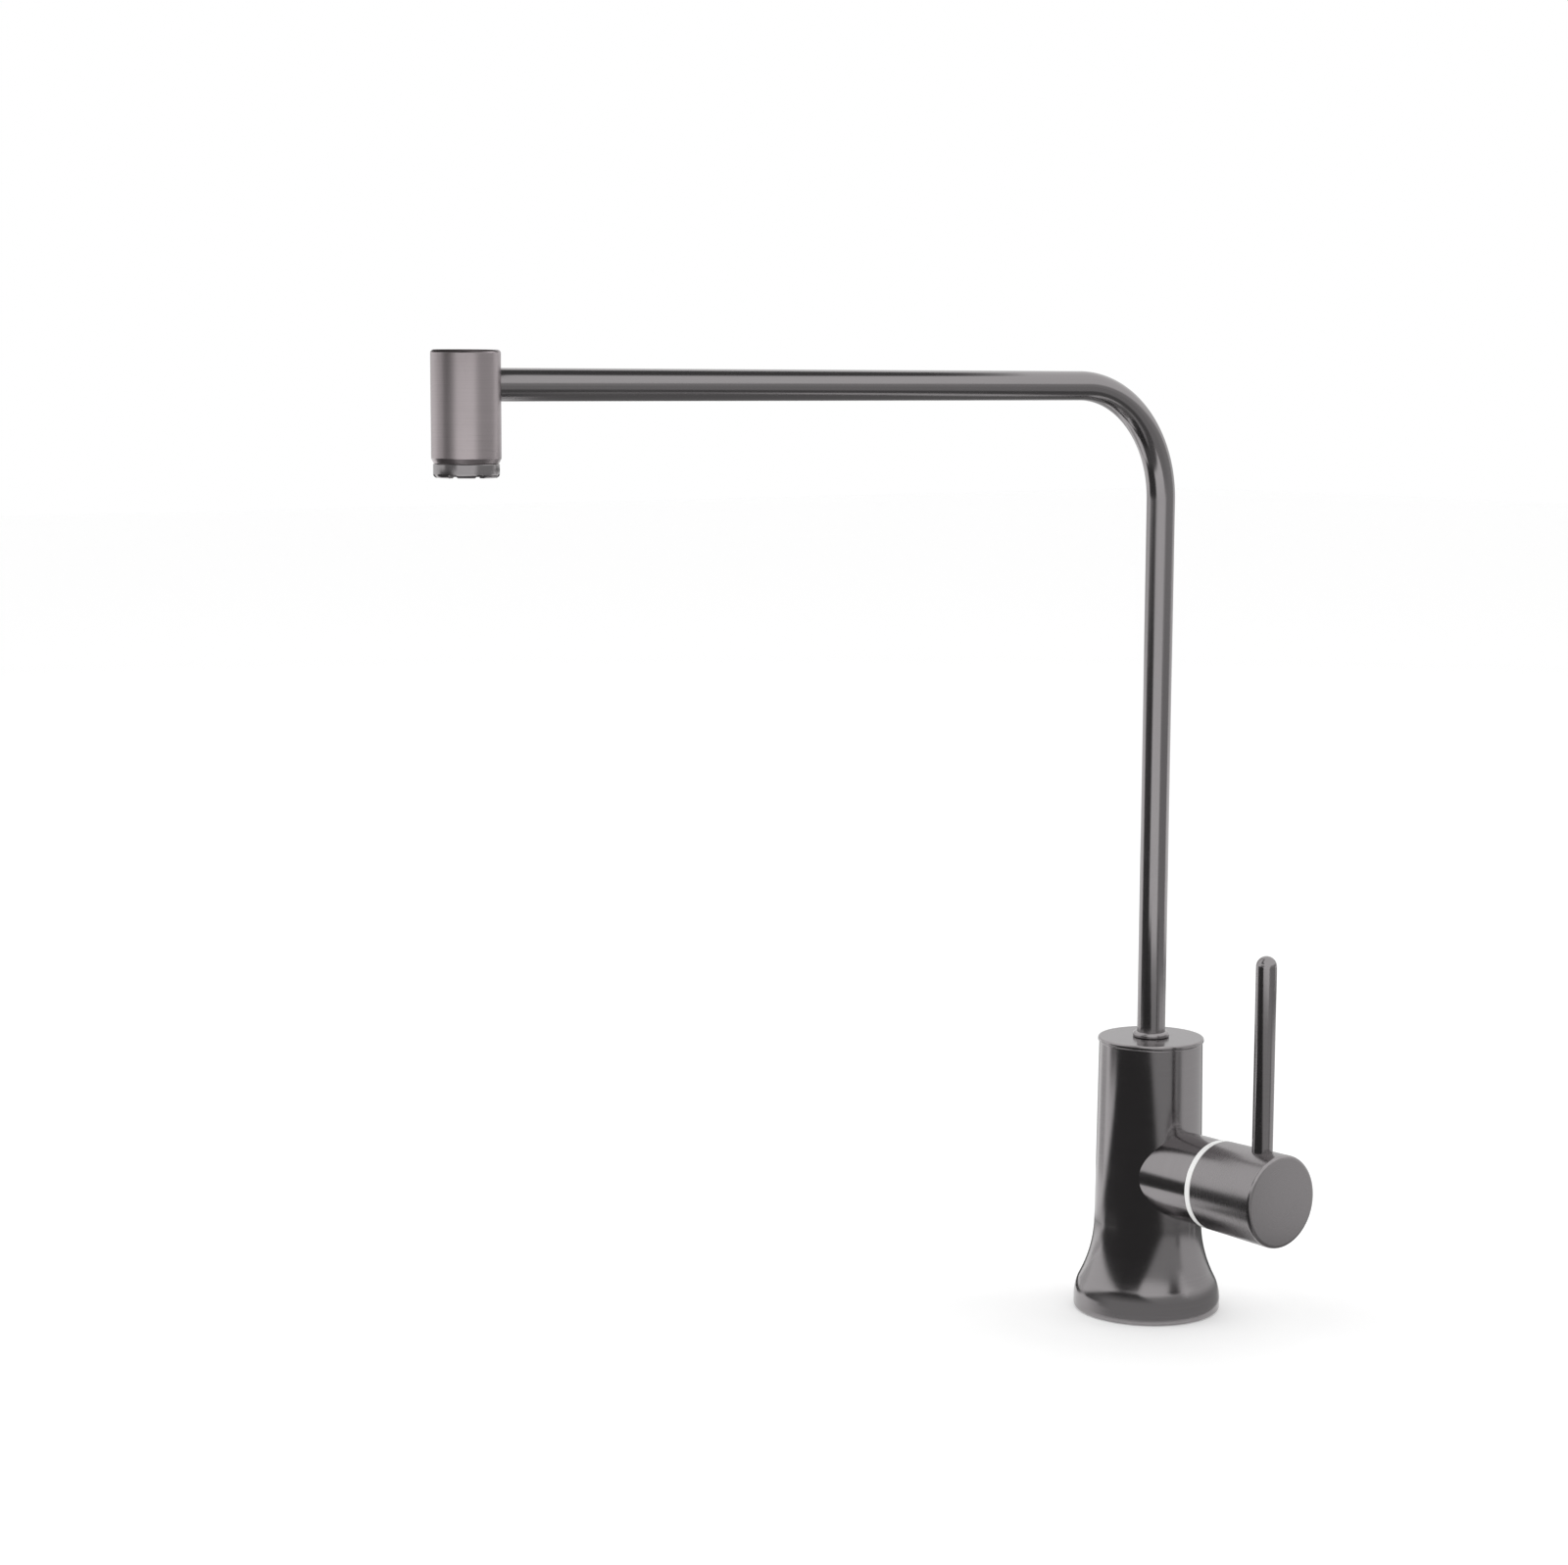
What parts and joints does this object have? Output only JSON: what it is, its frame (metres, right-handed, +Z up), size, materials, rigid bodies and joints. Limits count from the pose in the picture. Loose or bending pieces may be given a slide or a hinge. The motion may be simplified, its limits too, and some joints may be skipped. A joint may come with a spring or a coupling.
{
  "type": "drinking water filter tap",
  "caption": "Worktop tap for filtered water: turned column with a bell foot, swivelling right-angle tube spout with aerator, and a quarter-turn side knob with an upright pin lever.",
  "frame": {"origin": "centre of the foot's underside, in the plane of the worktop, at the mouth of the inlet thread", "axes": "+Z up along the column, -Y along the spout's arm towards the person using it, +X out along the valve's axis to the lever"},
  "size_m": [0.0871, 0.3089, 0.3251],
  "materials": {
    "gunmetal": "polished",
    "satin_gunmetal": "satin",
    "white_plastic": "gloss",
    "pale_plastic": "satin",
    "black_rubber": "matte",
    "plain_brass": "satin",
    "plain_steel": "satin",
    "white_ceramic": "satin"
  },
  "bodies": {
    "column": {"body": "gunmetal", "deck_seal": "black_rubber", "top_cap": "gunmetal", "spout_bush": "pale_plastic", "thrust_washer": "pale_plastic", "valve_boss": "gunmetal", "trim_ring": "white_plastic", "cartridge_body": "plain_brass", "cartridge_o_ring": "black_rubber", "seat_seal": "black_rubber", "fixed_disc": "white_ceramic"},
    "handle": {"knob": "gunmetal", "lever_pin": "gunmetal", "grub_screw": "plain_steel", "spindle": "plain_brass", "turning_disc": "white_ceramic", "spindle_o_ring": "black_rubber", "spindle_clip": "plain_steel"},
    "spout": {"spout_tube": "gunmetal", "spout_spigot": "plain_brass", "spigot_o_rings": "black_rubber", "spout_collar": "gunmetal", "outlet_head": "satin_gunmetal", "aerator_collar": "gunmetal", "aerator_seal": "black_rubber", "aerator_core": "pale_plastic", "aerator_screen": "plain_steel"}
  },
  "joints": [
    {"name": "spout_swivel", "type": "hinge", "parent": "column", "child": "spout", "pos_m": [0, 0, 0.0932], "axis": [0, 0, 1], "continuous": true},
    {"name": "handle_turn", "type": "hinge", "parent": "column", "child": "handle", "pos_m": [0.0345, 0, 0.0493], "axis": [1, 0, 0], "range_deg": [0, 90]}
  ]
}
